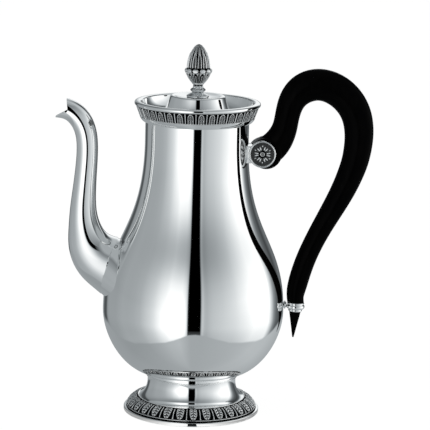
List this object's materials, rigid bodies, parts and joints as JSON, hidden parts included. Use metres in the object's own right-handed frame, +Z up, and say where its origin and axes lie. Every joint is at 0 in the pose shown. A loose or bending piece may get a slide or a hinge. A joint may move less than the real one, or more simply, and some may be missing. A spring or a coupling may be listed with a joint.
{
  "type": "coffee pot",
  "caption": "Silver coffee pot with a pear-shaped body, S-shaped spout, spreading foot, lift-off lid with a bud finial, and a dark wooden scroll handle.",
  "frame": {"origin": "middle of the foot, in the plane of the table it stands on", "axes": "+Z up along the axis of the body, +X towards the handle, -X towards the spout"},
  "size_m": [0.2207, 0.1268, 0.2602],
  "materials": {
    "polished_silver": "mirror polished",
    "oxidised_silver": "bright relief on a darkened ground",
    "ebony": "black, high gloss"
  },
  "bodies": {
    "pot": {"body_bowl": "polished_silver", "body_shoulder": "polished_silver", "body_neck": "polished_silver", "neck_moulding": "polished_silver", "rim_frieze": "oxidised_silver", "rim_wire": "polished_silver", "foot_shell": "polished_silver", "foot_moulding": "polished_silver", "foot_frieze": "oxidised_silver", "base_ring": "polished_silver", "spout": "polished_silver", "handle_bracket": "polished_silver", "handle": "ebony", "handle_pin": "polished_silver", "rosette_front": "oxidised_silver", "rosette_rear": "oxidised_silver", "ferrule": "polished_silver", "ferrule_link": "polished_silver"},
    "lid": {"lid_shell": "polished_silver", "lid_sleeve": "polished_silver", "finial_foot": "polished_silver", "finial_knop": "polished_silver", "finial_cup": "oxidised_silver", "finial_cone": "oxidised_silver", "finial_screw": "polished_silver", "finial_nut": "polished_silver"}
  },
  "joints": [
    {"name": "lid_lift", "type": "slide", "parent": "pot", "child": "lid", "axis": [0, 0, 1], "range_m": [0, 0.06]}
  ]
}
